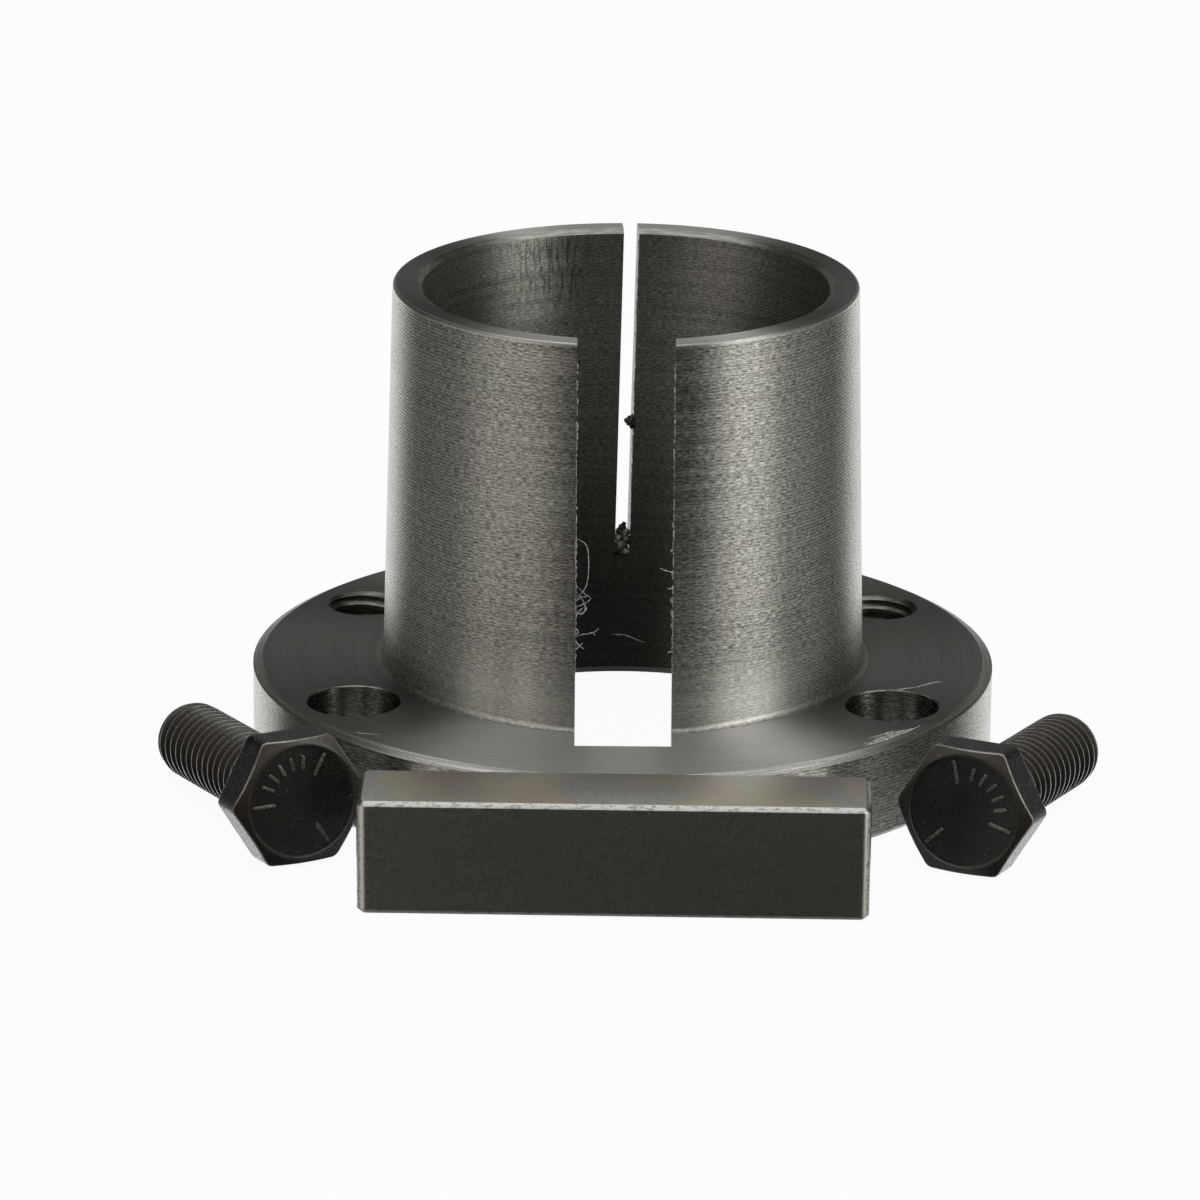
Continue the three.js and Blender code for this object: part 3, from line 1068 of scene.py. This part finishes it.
def key_metal():
    """Cold drawn key steel: fine grained, with faint straw patches on top and nicked edges."""
    material, g = new_material("key_steel")
    where, x, y, z = millimetres(g)
    lines = g.noise(g.scaled((x, y, z), (0.3, 4.0, 4.0)), 1.0, 3.0)
    grain = g.noise(where, 4.6, 2.0)
    clouds = g.noise(where, 0.11, 2.0)
    blush = g.noise(where, 0.17, 1.0)
    base = g.mix(g.ramp(grain, 0.3, 0.7), (0.57, 0.57, 0.53), (0.74, 0.735, 0.695))
    facing = [g.math("ABSOLUTE", axis) for axis in g.separate(g.normal())]
    top = g.ramp(facing[2], 0.8, 0.97)
    base = g.mix(g.times(top, g.ramp(clouds, 0.42, 0.62, 0.0, 0.7)), base, (0.78, 0.73, 0.53))
    base = g.mix(g.times(top, g.ramp(blush, 0.48, 0.66, 0.0, 0.5)), base, (0.76, 0.64, 0.60))
    edge = g.ramp(g.math("MAXIMUM", facing[1], facing[2]), 0.75, 0.95, 1.0, 0.0)
    nicks = g.noise(g.scaled((x, y, z), (1.3, 3.0, 3.0)), 1.0, 3.0, 0.6)
    base = g.mix(g.times(edge, g.ramp(nicks, 0.5, 0.66, 0.0, 0.75)), base, (0.2, 0.2, 0.18))
    rough = g.add(g.ramp(grain, 0.3, 0.7, 0.29, 0.34), g.times(top, 0.09))
    g.finish_metal(base, rough, lines, 0.003)
    return material


def painted_foot_highlight(g, base, x, y, z, turn):
    """Painted highlight: the sleeve is painted a little brighter on the keyway's side just above the
    flange, where it mirrors the bright flange in front of it.
    """
    # Painted highlight, strongest low on the sleeve and towards the front
    low = g.ramp(z, FLANGE_TOP + 2, FLANGE_TOP + 9, 0.38, 0.0)
    front = g.ramp(g.math("ABSOLUTE", turn), math.radians(120), math.radians(145))
    share = g.times(g.times(low, front), g.ramp(z, FLANGE_TOP, FLANGE_TOP + 0.3))
    return g.mix(share, base, (0.95, 0.95, 0.88))


def bore_shade_and_drag_marks(g, base, x, y, z, turn):
    """Painted shade that darkens the bore towards its bottom, with vertical marks left of the slit and
    near the top.
    """
    # Painted shade: the bore is painted darker towards its bottom, where its walls shade it
    base = g.mix(g.ramp(z, 8, LENGTH - 8, 0.8, 0.0), base, (0.05, 0.05, 0.045))
    lines = g.noise(g.scaled((turn, z, 5.0), (3.0 * BORE_RADIUS, 0.35, 1.0)), 1.0, 2.0)
    angle = g.ramp(turn, math.radians(-52), math.radians(-20))
    past = g.ramp(turn, math.radians(-16), math.radians(-4), 1.0, 0.0)
    high = g.ramp(z, LENGTH - 12, LENGTH - 3)
    share = g.times(g.times(angle, past), g.times(high, g.ramp(lines, 0.48, 0.62, 0.0, 0.7)))
    return g.mix(share, base, (0.10, 0.10, 0.09))


def scuffs(g, base, x, y, z, turn):
    """The light, streaky patch under the scuff by the flange's rim."""
    grain_x, grain_y = SCUFF_PATCH_GRAIN
    along = g.add(g.times(x, grain_x), g.times(y, grain_y))
    across = g.add(g.times(x, grain_y), g.times(y, -grain_x))
    lines = g.noise(g.scaled((along, across, 0.0), (0.35, 3.2, 1.0)), 1.0, 3.0, 0.7)
    from_middle = []
    for value, middle, size in zip((x, y), SCUFF_PATCH_MIDDLE, SCUFF_PATCH_SIZE):
        offset = g.times(g.add(value, -middle), 1 / size)
        from_middle.append(g.times(offset, offset))
    patch = g.ramp(g.add(*from_middle), 0.1, 1.0, 1.0, 0.0)
    share = g.times(patch, g.ramp(lines, 0.44, 0.56))
    return g.mix(share, base, (1.0, 0.98, 0.93))


def bushing_materials():
    """The bushing's materials, in the order of its material slots."""
    steel = (0.45, 0.45, 0.41)
    plain = (0.42, 0.42, 0.40)
    bright = (0.62, 0.62, 0.58)
    dull = (0.30, 0.295, 0.27)
    return [
        lathe_metal("turned_steel", steel, 0.39, 0.8, (0.6, 0.075), 0.012, extra=painted_foot_highlight),
        lathe_metal("rim_steel", bright, 0.36, 0.5, (9.0, 0.22), 0.012, ringed=0.1),
        lathe_metal("faced_steel", plain, 0.46, 0.12, (9.0, 0.16), 0.004, 1.0, scuffs),
        lathe_metal("bore_edge_steel", steel, 0.38, 0.35, (2.0, 0.12), 0.012),
        lathe_metal("bored_steel", steel, 0.42, 0.6, (0.55, 0.08), 0.009, extra=bore_shade_and_drag_marks),
        cut_metal("drilled_steel", dull, 0.4, 0.26, (0.8, 0.8, 0.14), 0.003, 0.9),
        cut_metal("threaded_steel", (0.22, 0.21, 0.19), 0.4, 0.36, (2.5, 2.5, 0.2), 0.006, 0.5),
        cut_metal("milled_steel", dull, 0.4, 0.5, (0.15, 0.15, 2.5), 0.012, 0.7),
    ]


# Stage

FLOOR_DROP = 0.02
FLOOR_GLOW = 0.945
FLOOR_COLOUR = (0.06, 0.06, 0.06)


def make_floor():
    """A pale floor that the camera sees but the metal doesn't mirror."""
    bm = bmesh.new()
    bmesh.ops.create_grid(bm, x_segments=1, y_segments=1, size=3)
    floor = new_object("floor", bm)
    floor.location.z = -FLOOR_DROP * MM
    material, g = new_material("pale_floor")
    glow = g.node("ShaderNodeEmission", {"Color": (1, 1, 1), "Strength": FLOOR_GLOW})
    matt = g.node("ShaderNodeBsdfDiffuse", {"Color": FLOOR_COLOUR})
    g.finish(g.node("ShaderNodeAddShader", {0: glow.outputs[0], 1: matt.outputs[0]}))
    floor.data.materials.append(material)
    floor.visible_glossy = False
    floor.visible_diffuse = False
    floor.visible_transmission = False


# Soft panels round the object, in degrees: the middle to the right of the camera's side, half width
# and softness round the horizon, the lowest and highest elevation with the softness of each, and
# the colour times its strength
PANELS = (
    ((-57, 22, 26), (-80, 20), (50, 30), (0.56, 0.535, 0.505)),  # left
    ((-90, 20, 40), (-80, 20), (40, 30), (0.13, 0.13, 0.13)),  # far left
    ((59, 14, 18), (-50, 24), (10, 20), (0.62, 0.62, 0.60)),  # right, low
    ((63, 14, 14), (5, 16), (50, 20), (2.2, 2.2, 2.15)),  # right, high
    ((87, 20, 36), (-50, 24), (50, 30), (0.27, 0.27, 0.27)),  # far right
    ((180, 42, 24), (-45, 20), (-3, 12), (1.3, 1.3, 1.33)),  # sweep behind
    ((180, 92, 40), (-80, 20), (0, 12), (0.16, 0.16, 0.16)),  # wide sweep behind
    ((172, 30, 40), (9, 6), (27, 8), (0.15, 0.15, 0.15)),  # back wall, low
    ((180, 12, 16), (26, 8), (53, 6), (0.30, 0.30, 0.30)),  # back wall, high
    ((0, 180, 1), (53, 6), (91, 1), (0.90, 0.90, 0.90)),  # overhead
)
ROOM_LIGHT = (0.031, 0.030, 0.0285)
SKY_SEEN = (0.978, 0.978, 0.978)


def panel_light(g, turn, rise, sweep, low, high):
    """The share of a panel's light that comes from a direction."""
    middle, half, soft = [math.radians(angle) for angle in sweep]
    away = g.math("ABSOLUTE", g.math("WRAP", g.add(turn, -middle), math.pi, -math.pi))
    share = g.ramp(away, half - soft / 2, half + soft / 2, 1.0, 0.0)
    for (edge, softness), outside, inside in ((low, 0.0, 1.0), (high, 1.0, 0.0)):
        start = math.radians(edge - softness / 2)
        share = g.times(share, g.ramp(rise, start, start + math.radians(softness), outside, inside))
    return share


def make_studio():
    """Soft panels to the left and right, a pale sweep behind and a panel overhead, seen as white."""
    world = bpy.data.worlds.new("studio")
    bpy.context.scene.world = world
    world.use_nodes = True
    g = Graph(world.node_tree)
    direction = g.node("ShaderNodeTexCoord").outputs["Generated"]
    x, y, z = g.separate(direction)
    turn = g.math("ARCTAN2", x, g.times(y, -1.0))
    rise = g.math("ARCSINE", z)
    light = g.node("ShaderNodeRGB").outputs[0]
    light.default_value = (*ROOM_LIGHT, 1)
    for sweep, low, high, colour in PANELS:
        share = panel_light(g, turn, rise, sweep, low, high)
        light = g.mix(1.0, light, g.mix(share, (0, 0, 0), colour), "ADD")
    seen = g.node("ShaderNodeLightPath").outputs["Is Camera Ray"]
    light = g.mix(seen, light, SKY_SEEN)
    sky = g.node("ShaderNodeBackground", {"Color": light, "Strength": 1.0})
    g.node("ShaderNodeOutputWorld", {"Surface": sky.outputs[0]})


def make_camera():
    """The view from the keyway side, a little above, with a long lens."""
    elevation = math.radians(18.319)
    roll = math.radians(0.472)
    distance = 0.62264
    aim = Vector((-0.002393, 0, 0.015279))
    back = Vector((0, -math.cos(elevation), math.sin(elevation)))
    level = Vector((1, 0, 0))
    upright = back.cross(level)
    right = level * math.cos(roll) + upright * math.sin(roll)
    up = upright * math.cos(roll) - level * math.sin(roll)
    data = bpy.data.cameras.new("camera")
    data.lens = 181.423
    data.sensor_width = 36
    data.clip_start = 0.01
    camera = bpy.data.objects.new("camera", data)
    bpy.context.scene.collection.objects.link(camera)
    matrix = Matrix((right, up, back)).transposed().to_4x4()
    matrix.translation = aim + back * distance
    camera.matrix_world = matrix
    bpy.context.scene.camera = camera


make_bushing(bushing_materials())
make_burrs(chip_metal("burr_steel", (0.95, 0.94, 0.90), 0.45, 0.01, 0.1))
make_chips("crushed_swarf", crushed_swarf(), chip_metal("pale_swarf", (0.90, 0.88, 0.82), 0.8, 0.05, 0.0))
make_chips("caught_swarf", caught_swarf(), chip_metal("dark_swarf", (0.25, 0.24, 0.22), 0.5, 0.05))
make_key(key_metal())
oxide = black_oxide_metal()
make_screw("cap_screw_left", oxide, math.radians(240))
make_screw("cap_screw_right", oxide, math.radians(-45))
make_screw("cap_screw_rear", oxide, math.radians(90))
make_floor()
make_studio()
make_camera()
bpy.context.scene.view_settings.view_transform = "Standard"
